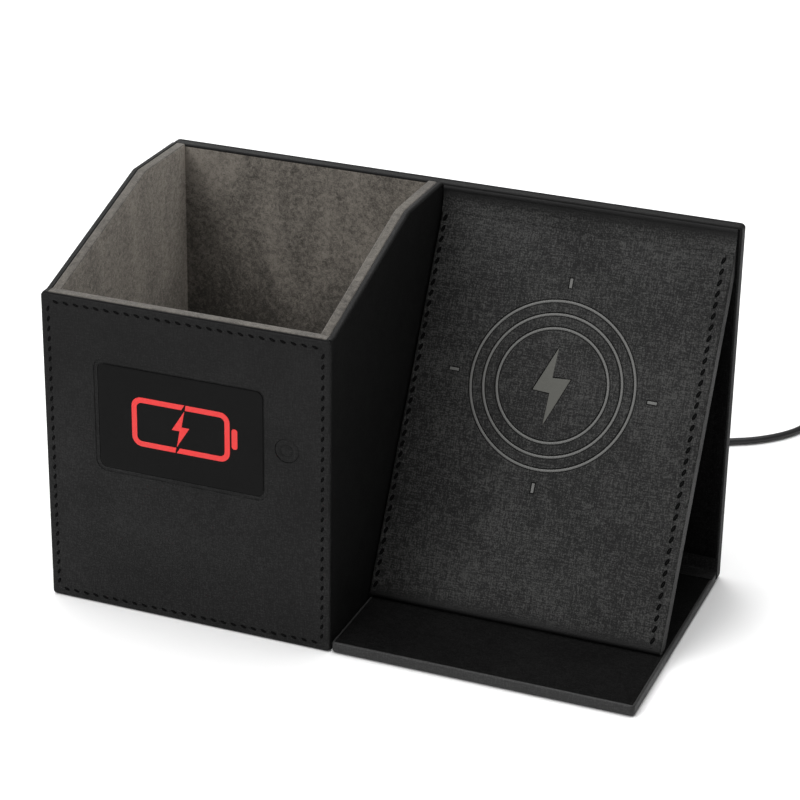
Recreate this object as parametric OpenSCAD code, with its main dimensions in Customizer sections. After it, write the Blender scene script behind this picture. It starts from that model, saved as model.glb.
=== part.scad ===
// Leather-covered desk organiser: a pen box on the left, and on the right a phone bay
// whose charging flap hangs from the back panel and rests on a hinged base.
// Frame: origin at the middle of the footprint, X to the right, Y to the rear, Z up.

/* [Organiser] */
// Width over the back panel
total_w = 200; // [190:1:220]
// Depth from the facade to the rear face
total_d = 99; // [94:1:110]
// Height of the back panel
total_h = 127; // [120:1:140]
// Thickness of the back panel
back_t = 5; // [4.6:0.1:6]
// Thickness of a leather skin
skin_t = 0.8; // [0.6:0.1:1]

/* [Pen box] */
// Height of the facade
facade_h = 107.4; // [95:0.1:112]
// Thickness of the facade's leather
facade_t = 1.4; // [1.2:0.1:1.6]
// Thickness of a side wall
wall_t = 5.2; // [4.8:0.1:6]
// Thickness of a side wall's outer leather
wall_skin_t = 2; // [1.6:0.1:2.2]
// Thickness of the suede lining
suede_t = 1; // [0.8:0.1:1.2]
// Distance from the rear face to the bend in a side wall's rim
rim_bend = 34.2; // [25:0.1:45]

/* [Badge and button] */
// Width of the smooth badge plate
badge_w = 57.6; // [45:0.1:62]
// Height of the smooth badge plate
badge_h = 36.6; // [28:0.1:40]
// Diameter of the light button
button_d = 8; // [6:0.1:9]
// Travel of the light button
button_travel = 0.4; // [0.2:0.05:0.5]

/* [Charging flap] */
// Thickness of the flap
flap_t = 5.2; // [4.8:0.1:6]
// Lean of the flap away from the vertical, in degrees
flap_lean = 28; // [24:0.5:30]
// Height of the flap's hinge line
hinge_z = 120.7; // [116:0.1:122]
// Radius of the outer pressed ring
ring_r = 28; // [22:0.5:30]

/* [Base] */
// Thickness of the base
base_t = 3.8; // [3.6:0.1:5]

/* [Cord] */
// Diameter of the cord
cord_d = 2.5; // [2:0.1:3]
// Length of the strain relief behind the rear face
relief_l = 20; // [16:1:26]

/* [Hidden] */

eps = 0.02;
half_w = total_w / 2;
front_y = -total_d / 2;
rear_y = total_d / 2;
back_front_y = rear_y - back_t;

// Pen box
box_right = -1.2;
box_left = -half_w;
facade_right = -1;
well_left = box_left + wall_t;
well_right = box_right - wall_t;
facade_rear_y = front_y + facade_t;
front_board_t = 2.6;
front_board_rear_y = facade_rear_y + front_board_t;
well_front_y = front_board_rear_y + suede_t;
rim_bend_y = rear_y - rim_bend;
floor_board_t = 1.4;
floor_t = 2 * skin_t + floor_board_t;

// Badge and button, measured from the middle of the footprint and up from the table
badge_x = -52;
badge_z = 68.7;
badge_deep = 0.5;
badge_plate_t = 0.3;
badge_gap = 0.2;
badge_r = 2.6;
mark_t = 0.15;
button_x = -15.6;
button_z = 68.2;
button_gap = 0.2;
button_t = 0.9;
switch_depth = 1;
dome_t = 0.1;
stem_d = 3;
stem_l = facade_t + switch_depth - dome_t - button_t - button_travel;

// Charging flap, in its own frame: Y from the front face to the rear, Z up from the hinge line
flap_left = -0.6;
flap_right = 98.6;
flap_clear = 0.3;
hinge_y = back_front_y - flap_clear;
strip_t = 0.2;
flap_strip_low = 4;
base_strip_high = 8;
foot_gap = 0.1;
flap_l = (hinge_z - base_t - foot_gap) / cos(flap_lean);
ring_x = 47.4;
ring_drop = 53.6;
ring_steps = [1, 0.845, 0.682];
ring_w = 1;
press_deep = 0.3;
tick_in = 32;
tick_l = 3.2;
tick_w = 1;
coil_r = 24;
coil_hole_r = 11;
coil_t = 1.2;
ferrite_t = 0.6;
ferrite_r = 26;
magnet_r = 4;
magnet_t = 1.8;
magnet_xs = [14, 84];

// Base
base_left = -0.4;
base_rear_y = back_front_y - flap_clear;
base_magnet_y = -8;

// Power board in the back panel
power_x = 62;
power_z = 40;
exit_x = 62;
exit_z = 14;
relief_r0 = 3;
relief_r1 = 1.9;
relief_flange_r = 4.4;
relief_flange_t = 1.2;

// Cord: points along its middle, from the rear face to where the coil begins
cord_r = cord_d / 2;
lead_points = [
    [62, 49.5, 14], [62, 60, 14], [62, 69.5, 14], [62, 75, 13.6], [62, 80, 12.2], [62, 85, 9.6],
    [62, 90, 6.6], [62, 95, 4], [62, 100, 2.3], [62, 106, 1.5], [62, 113, 1.25], [62.2, 122, 1.25],
    [63.4, 131, 1.25], [66.2, 139.4, 1.25], [70.6, 146, 1.25], [76.2, 150.4, 1.25],
    [82.2, 153.9, 1.25], [88.2, 158.8, 1.25], [93.6, 165, 1.25], [97.4, 172, 1.25],
    [99.4, 180, 1.25], [100, 187, 1.25]];
// Points of the tail, from the coil to the plug
tail_points = [
    [100, 193, 3.7], [100.8, 198, 3.4], [103, 203, 2.7], [107, 207.4, 1.9], [112, 210.2, 1.4],
    [119, 211.5, 1.25], [126, 210.6, 1.25], [133, 207.8, 1.25], [139, 203.4, 1.25],
    [143.6, 197.6, 1.3], [146.8, 190.6, 1.9], [148, 183, 3.1], [148, 176, 3.8]];
cord_sides = 8;
coil_x = 119;
coil_y = 190;
coil_out_r = 19 + cord_r;
coil_in_r = 11.5 - cord_r;
coil_h = 2 * cord_d;
tie_w = 9;
tie_t = 0.6;
plug_x = 148;
plug_y = 176;
plug_nose_l = 8;
plug_l = 30;
plug_w = 15.6;
plug_t = 7.6;
shell_w = 12;
shell_h = 4.5;
shell_l = 12;
shell_wall = 0.4;

// A box from its low corner to its high corner
module span(low, high) {
    translate(low) cube(high - low);
}

// A profile in Y and Z, drawn from x0 to x1
module along_x(x0, x1) {
    translate([x0, 0, 0]) rotate([90, 0, 90]) linear_extrude(x1 - x0) children();
}

// A cylinder along +Y from y0 to y1
module along_y(x, z, y0, y1, r) {
    translate([x, y0, z]) rotate([-90, 0, 0]) cylinder(r = r, h = y1 - y0, $fn = 48);
}

// A rectangle with round corners, centred
module round_rect(w, h, r) {
    offset(r, $fn = 32) square([w - 2 * r, h - 2 * r], center = true);
}

// A flat shape drawn in X and Z, standing from y0 to y1
module upright(x, z, y0, y1) {
    translate([x, y1, z]) rotate([90, 0, 0]) linear_extrude(y1 - y0) children();
}

// Back panel

module back_cover() {
    color("#1d1d1e") difference() {
        span([-half_w, back_front_y, 0], [half_w, rear_y, total_h]);
        span([-half_w + skin_t, back_front_y - 1, skin_t], [half_w - skin_t, rear_y - skin_t, total_h - skin_t]);
        along_y(exit_x, exit_z, back_front_y, rear_y + 1, relief_r0);
    }
}

module back_board() {
    color("#8a7a62") difference() {
        span([-half_w + skin_t, back_front_y + skin_t, skin_t], [half_w - skin_t, rear_y - skin_t, total_h - skin_t]);
        power_pocket();
        along_y(exit_x, exit_z, back_front_y + skin_t + 1, rear_y, relief_flange_r);
        span([exit_x - 2, back_front_y + skin_t + 1, exit_z], [exit_x + 2, rear_y, power_z]);
    }
}

module power_pocket() {
    span([power_x - 22, back_front_y + skin_t + 1, power_z - 14], [power_x + 22, rear_y, power_z + 14]);
}

module bay_facing() {
    color("#202021") span([box_right, back_front_y, skin_t], [half_w - skin_t, back_front_y + skin_t, total_h - skin_t]);
}

module well_back_lining() {
    color("#70695f") span([-half_w + skin_t, back_front_y, skin_t], [box_right, back_front_y + skin_t, total_h - skin_t]);
}

module power_board() {
    board_y = back_front_y + skin_t + 1.2;
    color("#1f5a36") {
        span([power_x - 20, board_y, power_z - 11], [power_x + 20, board_y + 1, power_z + 12]);
        for (chip = [[-12, -2, 7, 7], [2, 1, 5, 5], [11, -4, 4, 9], [-4, -7, 5, 3]])
            span([power_x + chip[0], board_y + 1, power_z + chip[1]],
                [power_x + chip[0] + chip[2], board_y + 2, power_z + chip[1] + chip[3]]);
    }
}

module cord_clamp() {
    clamp_y = back_front_y + skin_t + 1;
    color("#2b2b2c") span([exit_x - 1.8, clamp_y, exit_z + 5], [exit_x + 1.8, rear_y - skin_t - 0.2, exit_z + 10]);
}

// Pen box walls: the rim rises from the facade to the bend, then runs level to the back

function rim_z(y, drop) = min(total_h, facade_h + (total_h - facade_h)
    * max(0, y - front_board_rear_y) / (rim_bend_y - front_board_rear_y)) - drop;

module wall_profile(y0, low, drop) {
    polygon([[y0, low], [back_front_y, low], [back_front_y, rim_z(back_front_y, drop)],
        [rim_bend_y, rim_z(rim_bend_y, drop)], [front_board_rear_y, rim_z(front_board_rear_y, drop)],
        if (y0 < front_board_rear_y) [y0, rim_z(y0, drop)]]);
}

// One side wall's layer, from the outer face inwards; side is -1 on the left
module wall_layer(side, out0, out1, y0, low, drop) {
    outer = side < 0 ? box_left : box_right;
    xs = [outer - side * out0, outer - side * out1];
    along_x(min(xs), max(xs)) wall_profile(y0, low, drop);
}

module wall_cover(side) {
    color("#161616") wall_layer(side, 0, wall_skin_t, facade_rear_y, 0, 0);
}

module wall_board(side) {
    color("#8a7a62") wall_layer(side, wall_skin_t, wall_t - suede_t, front_board_rear_y, 0, suede_t);
}

module wall_lining(side) {
    color("#7a7268") difference() {
        wall_layer(side, wall_skin_t, wall_t, front_board_rear_y, 0, 0);
        wall_layer(side, wall_skin_t - 1, wall_t - suede_t, front_board_rear_y - 1, -1, suede_t);
    }
}

module left_wall_cover() { wall_cover(-1); }
module left_wall_board() { wall_board(-1); }
module left_wall_lining() { wall_lining(-1); }
module right_wall_cover() { wall_cover(1); }
module right_wall_board() { wall_board(1); }
module right_wall_lining() { wall_lining(1); }

// Floor of the pen box

module floor_layer(z0, z1) {
    span([well_left, well_front_y, z0], [well_right, back_front_y, z1]);
}

module floor_cover() {
    color("#202021") floor_layer(0, skin_t);
}

module floor_board() {
    color("#8a7a62") floor_layer(skin_t, skin_t + floor_board_t);
}

module floor_lining() {
    color("#70695f") floor_layer(skin_t + floor_board_t, floor_t);
}

// Facade and the front wall behind it

module facade_cover() {
    color("#262627") difference() {
        span([box_left, front_y, 0], [facade_right, facade_rear_y, facade_h]);
        upright(badge_x, badge_z, front_y - 1, front_y + badge_deep) round_rect(badge_w, badge_h, badge_r);
        upright(badge_x, badge_z, front_y, facade_rear_y + 1) square([badge_w - 8, badge_h - 8], center = true);
        along_y(button_x, button_z, front_y - 1, facade_rear_y + 1, button_d / 2 + button_gap);
    }
}

module facade_board() {
    color("#8a7a62") difference() {
        span([box_left + wall_skin_t, facade_rear_y, 0],
            [box_right - wall_skin_t, front_board_rear_y, facade_h - suede_t]);
        upright(badge_x, badge_z, facade_rear_y - 1, facade_rear_y + 2.2)
            square([badge_w - 8, badge_h - 8], center = true);
        span([badge_x, facade_rear_y - 1, button_z - 4], [button_x, facade_rear_y + 1.6, button_z + 4]);
        along_y(button_x, button_z, facade_rear_y - 1, facade_rear_y + 1.6, button_d / 2 + 1);
    }
}

module front_lining() {
    color("#70695f") {
        span([well_left, front_board_rear_y, 0], [well_right, well_front_y, facade_h]);
        span([box_left + wall_skin_t, facade_rear_y, facade_h - suede_t],
            [box_right - wall_skin_t, front_board_rear_y, facade_h]);
        span([well_left, facade_rear_y + 1, facade_h - suede_t], [well_right, well_front_y, facade_h]);
    }
}

module badge_plate() {
    color("#2f2f30") upright(badge_x, badge_z, front_y + badge_deep - badge_plate_t, front_y + badge_deep)
        round_rect(badge_w - 2 * badge_gap, badge_h - 2 * badge_gap, badge_r - badge_gap);
}

// A battery outline with a bolt across it
module badge_mark() {
    mark_y = front_y + badge_deep - badge_plate_t;
    color("#e04038") upright(badge_x, badge_z, mark_y - mark_t, mark_y) {
        difference() {
            round_rect(34, 17, 3.4);
            round_rect(30.4, 13.4, 1.8);
            bolt(1.32);
        }
        translate([18.6, 0]) round_rect(2, 7, 0.9);
        bolt(0.9);
    }
}

// A lightning bolt, pointed at top and bottom
module bolt(size) {
    scale(size) polygon([[1.6, 7.2], [-3.4, -0.8], [-0.4, -0.8], [-1.6, -7.2], [3.4, 0.8], [0.4, 0.8]]);
}

module light_guide() {
    color("#e8ecec") upright(badge_x, badge_z, front_y + badge_deep, facade_rear_y + 0.9)
        square([badge_w - 8.4, badge_h - 8.4], center = true);
}

module led_board() {
    board_y = facade_rear_y + switch_depth;
    color("#1f5a36") span([badge_x - 22, board_y, badge_z - 8], [badge_x + 22, board_y + 0.8, badge_z + 8]);
}

module switch_board() {
    board_y = facade_rear_y + switch_depth;
    color("#1f5a36") {
        span([button_x - 12, board_y, button_z - 3.6], [button_x + 3, board_y + 0.5, button_z + 3.6]);
        along_y(button_x, button_z, board_y - dome_t, board_y, 2);
    }
}

module light_button() {
    cap_rear_y = front_y + button_t;
    color("#2c2c2d") difference() {
        union() {
            along_y(button_x, button_z, front_y, cap_rear_y, button_d / 2);
            along_y(button_x, button_z, cap_rear_y - eps, cap_rear_y + stem_l - eps, stem_d / 2);
        }
        upright(button_x, button_z, front_y - 1, front_y + 0.2) difference() {
            circle(d = 5.8, $fn = 48);
            circle(d = 4.6, $fn = 48);
        }
    }
}

// Charging flap

module flap_place() {
    translate([0, hinge_y, hinge_z]) rotate([-flap_lean, 0, 0]) children();
}

// The flap's section between two depths; its top is cut to stand flat against the back panel,
// and its foot to stand flat on the base
module flap_section(y0, y1, top, low) {
    upright = 1 / tan(flap_lean);
    level = tan(flap_lean);
    polygon([[y0, -y0 * upright - top], [y0, low + y0 * level - flap_l],
        [y1, low + y1 * level - flap_l], [y1, -y1 * upright - top]]);
}

module flap_layer(x_in, y0, y1, top, low) {
    along_x(flap_left + x_in, flap_right - x_in) flap_section(y0, y1, top, low);
}

// A flat shape on the flap about the middle of the rings, from depth y0 to depth y1
module on_flap(y0, y1) {
    translate([ring_x, y1, -ring_drop]) rotate([90, 0, 0]) linear_extrude(y1 - y0) children();
}

module flap_disc(r, y0, y1) {
    on_flap(y0, y1) circle(r, $fn = 64);
}

module flap_cover() {
    color("#343435") flap_place() difference() {
        flap_layer(0, 0, flap_t, 0, 0);
        flap_layer(skin_t, skin_t, flap_t + 1, 2, skin_t);
        for (size = ring_steps)
            on_flap(-1, press_deep) difference() {
                circle(ring_r * size, $fn = 96);
                circle(ring_r * size - ring_w, $fn = 96);
            }
        for (turn = [0:90:270])
            on_flap(-1, press_deep) rotate(turn) translate([tick_in, -tick_w / 2]) square([tick_l, tick_w]);
        on_flap(-1, press_deep) bolt(1.7);
    }
}

module flap_board() {
    color("#8a7a62") flap_place() difference() {
        flap_layer(skin_t, skin_t, flap_t - skin_t, 2, skin_t);
        flap_disc(ferrite_r + 0.4, skin_t + 0.4, flap_t);
        for (x = magnet_xs)
            along_y(x, 9 - flap_l, flap_t - skin_t - magnet_t - 0.1, flap_t, magnet_r + 0.1);
    }
}

module flap_facing() {
    color("#202021") flap_place() flap_layer(skin_t, flap_t - skin_t, flap_t, 2, skin_t);
}

module charging_coil() {
    color("#b8703a") flap_place() on_flap(skin_t + 0.5, skin_t + 0.5 + coil_t) difference() {
        circle(coil_r, $fn = 64);
        circle(coil_hole_r, $fn = 64);
    }
}

module ferrite_sheet() {
    coil_rear = skin_t + 0.5 + coil_t;
    color("#3a3a3c") flap_place() flap_disc(ferrite_r, coil_rear, coil_rear + ferrite_t);
}

module coil_board() {
    ferrite_rear = skin_t + 0.5 + coil_t + ferrite_t;
    color("#1f5a36") flap_place() {
        on_flap(ferrite_rear, ferrite_rear + 0.8) square([34, 20], center = true);
        on_flap(ferrite_rear + 0.8, flap_t - skin_t - 0.1) translate([-6, -4]) square([9, 7]);
    }
}

module flap_magnets() {
    color("#b9bcc0") flap_place()
        for (x = magnet_xs)
            along_y(x, 9 - flap_l, flap_t - skin_t - magnet_t, flap_t - skin_t, magnet_r);
}

// Leather strip on which the flap hangs, flat against the back panel
module flap_hinge() {
    color("#262627") span([flap_left, back_front_y - strip_t, hinge_z - flap_strip_low],
        [flap_right, back_front_y, total_h - skin_t]);
}

// Base under the flap

module base_layer(inset, z0, z1) {
    span([base_left + inset, front_y + inset, z0], [half_w - inset, base_rear_y - inset, z1]);
}

module base_cover() {
    color("#1d1d1e") difference() {
        base_layer(0, 0, base_t);
        base_layer(skin_t, skin_t, base_t + 1);
    }
}

module base_board() {
    color("#8a7a62") difference() {
        base_layer(skin_t, skin_t, base_t - skin_t);
        for (x = magnet_xs)
            translate([x, base_magnet_y, base_t - skin_t - magnet_t - 0.1])
                cylinder(r = magnet_r + 0.1, h = magnet_t + 1, $fn = 48);
    }
}

module base_facing() {
    color("#232324") base_layer(skin_t, base_t - skin_t, base_t);
}

module base_magnets() {
    color("#b9bcc0") for (x = magnet_xs)
        translate([x, base_magnet_y, base_t - skin_t - magnet_t]) cylinder(r = magnet_r, h = magnet_t, $fn = 48);
}

// Leather strip on which the base folds, flat against the back panel
module base_hinge() {
    color("#262627") span([base_left, back_front_y - strip_t, skin_t], [half_w, back_front_y, base_strip_high]);
}

// Cord and what is on it

module strain_relief() {
    flange_y = rear_y - skin_t - relief_flange_t;
    color("#18181a") translate([exit_x, flange_y, exit_z]) rotate([-90, 0, 0]) rotate_extrude($fn = 48)
        polygon([[cord_r + 0.05, 0], [relief_flange_r - 0.2, 0], [relief_flange_r - 0.2, relief_flange_t],
            [relief_r0 - 0.05, relief_flange_t], [relief_r0 - 0.05, relief_flange_t + skin_t + 2],
            [relief_r1, relief_flange_t + skin_t + relief_l], [cord_r + 0.05, relief_flange_t + skin_t + relief_l]]);
}

function unit(v) = v / norm(v);

// The point at t along a smooth curve from b to c, with a and d beyond its ends
function smooth(a, b, c, d, t) = 0.5 * (2 * b + (c - a) * t + (2 * a - 5 * b + 4 * c - d) * t * t
    + (3 * b - a - 3 * c + d) * t * t * t);

function ring_points(pts) = let (last = len(pts) - 1, n = 2)
    [for (i = [0:last - 1]) for (k = [0:n - 1])
        smooth(pts[max(0, i - 1)], pts[i], pts[i + 1], pts[min(last, i + 2)], k / n), pts[last]];

// A round tube swept along a route
module tube(route) {
    pts = ring_points(route);
    last = len(pts) - 1;
    rings = [for (i = [0:last])
        let (along = unit(pts[min(last, i + 1)] - pts[max(0, i - 1)]),
            aside = unit(cross(along, [0, 0, 1])), up = cross(aside, along))
        for (k = [0:cord_sides - 1])
            pts[i] + cord_r * (cos(360 * k / cord_sides) * aside + sin(360 * k / cord_sides) * up)];
    n = cord_sides;
    sides = [for (i = [0:last - 1]) for (k = [0:n - 1]) let (m = (k + 1) % n)
        each [[i * n + k, (i + 1) * n + k, (i + 1) * n + m], [i * n + k, (i + 1) * n + m, i * n + m]]];
    polyhedron(points = rings, faces = concat(sides, [[for (k = [0:n - 1]) k]],
        [[for (k = [n - 1:-1:0]) last * n + k]]));
}

module cord_run() {
    color("#141416") tube(lead_points);
}

module cord_coil() {
    color("#141416") translate([coil_x, coil_y, 0]) rotate_extrude($fn = 64)
        translate([coil_in_r, 0]) square([coil_out_r - coil_in_r, coil_h]);
}

module cord_tail() {
    color("#141416") tube(tail_points);
}

module coil_tie() {
    color("#2a2a2c") translate([coil_x, coil_y - tie_w / 2, 0]) difference() {
        span([coil_in_r - tie_t, 0, 0], [coil_out_r + tie_t, tie_w, coil_h + tie_t]);
        span([coil_in_r, -1, tie_t], [coil_out_r, tie_w + 1, coil_h]);
    }
}

module usb_plug_body() {
    color("#19191b") translate([plug_x, plug_y, plug_t / 2]) rotate([90, 0, 0]) {
        cylinder(r1 = cord_r + 0.6, r2 = cord_r + 1.6, h = plug_nose_l, $fn = 32);
        translate([0, 0, plug_nose_l]) linear_extrude(plug_l) round_rect(plug_w, plug_t, 1.6);
    }
}

module usb_plug_shell() {
    color("#c3c6ca") translate([plug_x, plug_y - plug_nose_l - plug_l, plug_t / 2]) rotate([90, 0, 0])
        difference() {
            linear_extrude(shell_l) square([shell_w, shell_h], center = true);
            translate([0, 0, 1]) linear_extrude(shell_l) difference() {
                square([shell_w - 2 * shell_wall, shell_h - 2 * shell_wall], center = true);
                translate([-shell_w / 2, -shell_h / 2]) square([shell_w, shell_h / 2 - 0.2]);
            }
        }
}

back_cover();
back_board();
bay_facing();
well_back_lining();
power_board();
cord_clamp();
left_wall_cover();
left_wall_board();
left_wall_lining();
right_wall_cover();
right_wall_board();
right_wall_lining();
floor_cover();
floor_board();
floor_lining();
facade_cover();
facade_board();
front_lining();
badge_plate();
badge_mark();
light_guide();
led_board();
switch_board();
light_button();
flap_cover();
flap_board();
flap_facing();
charging_coil();
ferrite_sheet();
coil_board();
flap_magnets();
flap_hinge();
base_cover();
base_board();
base_facing();
base_magnets();
base_hinge();
strain_relief();
cord_run();
cord_coil();
cord_tail();
coil_tie();
usb_plug_body();
usb_plug_shell();
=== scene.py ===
"""Leather desk organiser with a charging flap: the looks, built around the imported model."""

from contextlib import contextmanager
from math import cos, dist, pi, radians, sin, tan

import bpy
from mathutils import Matrix, Vector


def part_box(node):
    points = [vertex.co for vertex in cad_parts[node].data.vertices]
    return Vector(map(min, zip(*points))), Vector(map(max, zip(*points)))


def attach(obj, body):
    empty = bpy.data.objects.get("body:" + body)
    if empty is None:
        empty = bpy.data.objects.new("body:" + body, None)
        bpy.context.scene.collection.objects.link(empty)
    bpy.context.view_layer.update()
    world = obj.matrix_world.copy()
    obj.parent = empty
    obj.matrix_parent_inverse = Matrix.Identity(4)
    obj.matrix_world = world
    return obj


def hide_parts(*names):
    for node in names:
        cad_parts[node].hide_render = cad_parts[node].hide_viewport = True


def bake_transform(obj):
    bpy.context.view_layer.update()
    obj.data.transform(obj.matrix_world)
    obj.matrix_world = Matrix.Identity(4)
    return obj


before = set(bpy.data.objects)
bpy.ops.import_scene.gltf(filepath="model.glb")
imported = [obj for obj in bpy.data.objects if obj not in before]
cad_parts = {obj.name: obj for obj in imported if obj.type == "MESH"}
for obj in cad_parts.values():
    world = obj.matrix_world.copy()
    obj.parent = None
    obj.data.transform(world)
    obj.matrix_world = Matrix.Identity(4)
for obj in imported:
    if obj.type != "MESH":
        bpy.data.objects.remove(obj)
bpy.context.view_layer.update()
MM = 0.001

# ---------------------------------------------------------------- camera


def make_camera():
    """Looks down on the organiser from the front right, through a long lens."""
    heading, pitch, roll = radians(21.233), radians(24.701), radians(0.988)
    camera = bpy.data.objects.new("camera", bpy.data.cameras.new("camera"))
    bpy.context.scene.collection.objects.link(camera)
    camera.data.sensor_width = 36
    camera.data.lens = 120.35
    camera.data.clip_start, camera.data.clip_end = 0.05, 20
    turn = (Matrix.Rotation(heading, 3, "Z") @ Matrix.Rotation(pi / 2 - pitch, 3, "X")
            @ Matrix.Rotation(roll, 3, "Z"))
    camera.rotation_euler = turn.to_euler()
    camera.location = (0.28617, -0.73037, 0.42844)
    bpy.context.scene.camera = camera


# ---------------------------------------------------------------- modelling helpers


def only(obj):
    """Leaves obj alone selected and active."""
    bpy.ops.object.select_all(action="DESELECT")
    obj.select_set(True)
    bpy.context.view_layer.objects.active = obj


@contextmanager
def editing(obj, kind, wanted):
    """Edit mode on obj, with the VERT, EDGE or FACE parts selected whose place and direction are wanted."""
    only(obj)
    bpy.ops.object.mode_set(mode="EDIT")
    bpy.ops.mesh.select_mode(type=kind)
    bpy.ops.mesh.select_all(action="DESELECT")
    bpy.ops.object.mode_set(mode="OBJECT")
    mesh = obj.data
    if kind == "VERT":
        for vertex in mesh.vertices:
            vertex.select = wanted(vertex.co, vertex.normal)
    elif kind == "FACE":
        for face in mesh.polygons:
            face.select = wanted(face.center, face.normal)
    else:
        for edge in mesh.edges:
            a, b = (mesh.vertices[i].co for i in edge.vertices)
            edge.select = wanted((a + b) / 2, (b - a).normalized())
    bpy.ops.object.mode_set(mode="EDIT")
    yield
    bpy.ops.object.mode_set(mode="OBJECT")


def all_of(place, way):
    """Every part is wanted."""
    return True


def near(a, b):
    return abs(a - b) < 0.01 * MM


def margin(place, low, high, axes):
    """How far a place is from the nearest of a box's sides along some axes."""
    return min(min(place[axis] - low[axis], high[axis] - place[axis]) for axis in axes)


def pressed_line(first, corner=0.0, wide=0.65 * MM, deep=0.17 * MM):
    """Presses a soft channel into the selected face, whose corners are round, at a distance from its edge."""
    if corner:
        bpy.ops.mesh.inset(thickness=0.9 * corner)
        bpy.ops.mesh.remove_doubles(threshold=2 * corner)
    bpy.ops.mesh.inset(thickness=first - 0.9 * corner)
    bpy.ops.mesh.inset(thickness=wide, depth=-deep)
    bpy.ops.mesh.inset(thickness=wide, depth=deep)


def bevel(obj, width, segments, wanted):
    """Rounds the picked edges."""
    with editing(obj, "EDGE", wanted):
        bpy.ops.mesh.bevel(offset=width, segments=segments, affect="EDGES")


def round_sheet(obj, corner, edges):
    """Rounds a standing sheet's corners, then its edges at each depth by their own width."""
    bevel(obj, corner, 4, lambda place, way: abs(way.y) > 0.9)
    for y, width in edges:
        bevel(obj, width, 4, lambda place, way: near(place.y, y))


def settle(obj):
    """Puts the object's place and turn into its mesh."""
    only(obj)
    bpy.ops.object.transform_apply(location=True, rotation=True, scale=True)


def block(name, low, high):
    low, high = Vector(low), Vector(high)
    bpy.ops.mesh.primitive_cube_add(size=1, location=(low + high) / 2, scale=high - low)
    obj = bpy.context.object
    obj.name = name
    settle(obj)
    return obj


def rod(name, middle, radius, y0, y1, sides=48):
    """A cylinder along Y about the line through middle."""
    place = (middle[0], (y0 + y1) / 2, middle[1])
    bpy.ops.mesh.primitive_cylinder_add(
        vertices=sides, radius=radius, depth=y1 - y0, location=place, rotation=(pi / 2, 0, 0))
    obj = bpy.context.object
    obj.name = name
    settle(obj)
    return obj


def round_block(name, low, high, radius):
    """A block whose four edges along Y are round."""
    obj = block(name, low, high)
    bevel(obj, radius, 6, lambda place, way: abs(way.y) > 0.9)
    return obj


def upright_plate(name, outline, y0, y1):
    """A flat plate from y0 to y1 whose outline is a list of X and Z."""
    bpy.ops.mesh.primitive_circle_add(vertices=len(outline), fill_type="NGON")
    obj = bpy.context.object
    obj.name = name
    for vertex, (x, z) in zip(obj.data.vertices, outline):
        vertex.co = (x, y0, z)
    with editing(obj, "FACE", all_of):
        bpy.ops.mesh.extrude_region_move(TRANSFORM_OT_translate={"value": (0, y1 - y0, 0)})
        bpy.ops.mesh.select_all(action="SELECT")
        bpy.ops.mesh.normals_make_consistent(inside=False)
    return obj


def use(obj, kind, **settings):
    """Adds a modifier and applies it."""
    only(obj)
    modifier = obj.modifiers.new(kind, kind)
    for key, value in settings.items():
        setattr(modifier, key, value)
    bpy.ops.object.modifier_apply(modifier=modifier.name)


def carve(obj, *cutters):
    """Cuts each cutter out of obj, and removes it."""
    for cutter in cutters:
        use(obj, "BOOLEAN", operation="DIFFERENCE", solver="EXACT", material_mode="TRANSFER", object=cutter)
        bpy.data.objects.remove(cutter)
    with editing(obj, "VERT", all_of):
        bpy.ops.mesh.remove_doubles(threshold=0.003 * MM)
        bpy.ops.mesh.dissolve_degenerate(threshold=0.003 * MM)


def soften(obj, width, segments=2, angle=35):
    """Rounds every edge sharper than the angle."""
    use(obj, "BEVEL", width=width, segments=segments, limit_method="ANGLE", angle_limit=radians(angle),
        use_clamp_overlap=True)


def smooth(obj, angle=40):
    """Smooth shading over shallow edges, in which the large flat faces stay flat."""
    only(obj)
    bpy.ops.object.shade_smooth_by_angle(angle=radians(angle))
    use(obj, "WEIGHTED_NORMAL", keep_sharp=True, weight=90)


def joined(name, parts):
    """One object from several, each of which keeps its materials."""
    bpy.ops.object.select_all(action="DESELECT")
    for part in parts:
        part.select_set(True)
    bpy.context.view_layer.objects.active = parts[0]
    bpy.ops.object.join()
    parts[0].name = name
    return parts[0]


def turned(name, profile, place, sides=40):
    """A profile of radii and distances, turned about the line along Y through place."""
    x, y, z = place
    bpy.ops.mesh.primitive_plane_add(size=MM, location=(x, y, z))
    obj = bpy.context.object
    obj.name = name
    settle(obj)
    with editing(obj, "VERT", all_of):
        bpy.ops.mesh.merge(type="CENTER")
        bpy.ops.transform.translate(value=(*profile[0], 0))
        for (radius, along), (next_radius, next_along) in zip(profile, profile[1:]):
            bpy.ops.mesh.extrude_vertices_move(
                TRANSFORM_OT_translate={"value": (next_radius - radius, next_along - along, 0)})
        bpy.ops.mesh.select_all(action="SELECT")
        bpy.ops.mesh.spin(steps=sides, angle=2 * pi, center=place, axis=(0, 1, 0))
        bpy.ops.mesh.select_all(action="SELECT")
        bpy.ops.mesh.remove_doubles(threshold=0.01 * MM)
        bpy.ops.mesh.normals_make_consistent(inside=False)
    return obj


def ribbon(name, x0, x1, profile, thickness):
    """A strip from x0 to x1 along a profile of Y and Z, with its thickness behind the profile."""
    (y, z), rest = profile[0], profile[1:]
    bpy.ops.mesh.primitive_plane_add(size=1, location=((x0 + x1) / 2, y, z))
    obj = bpy.context.object
    obj.name = name
    obj.scale = (x1 - x0, 0, 1)
    settle(obj)
    with editing(obj, "VERT", all_of):
        bpy.ops.mesh.remove_doubles(threshold=0.01 * MM)
        for step_y, step_z in rest:
            bpy.ops.mesh.extrude_region_move(
                TRANSFORM_OT_translate={"value": (0, step_y - y, step_z - z)})
            y, z = step_y, step_z
    use(obj, "SOLIDIFY", thickness=thickness, offset=1)
    return obj


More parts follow.
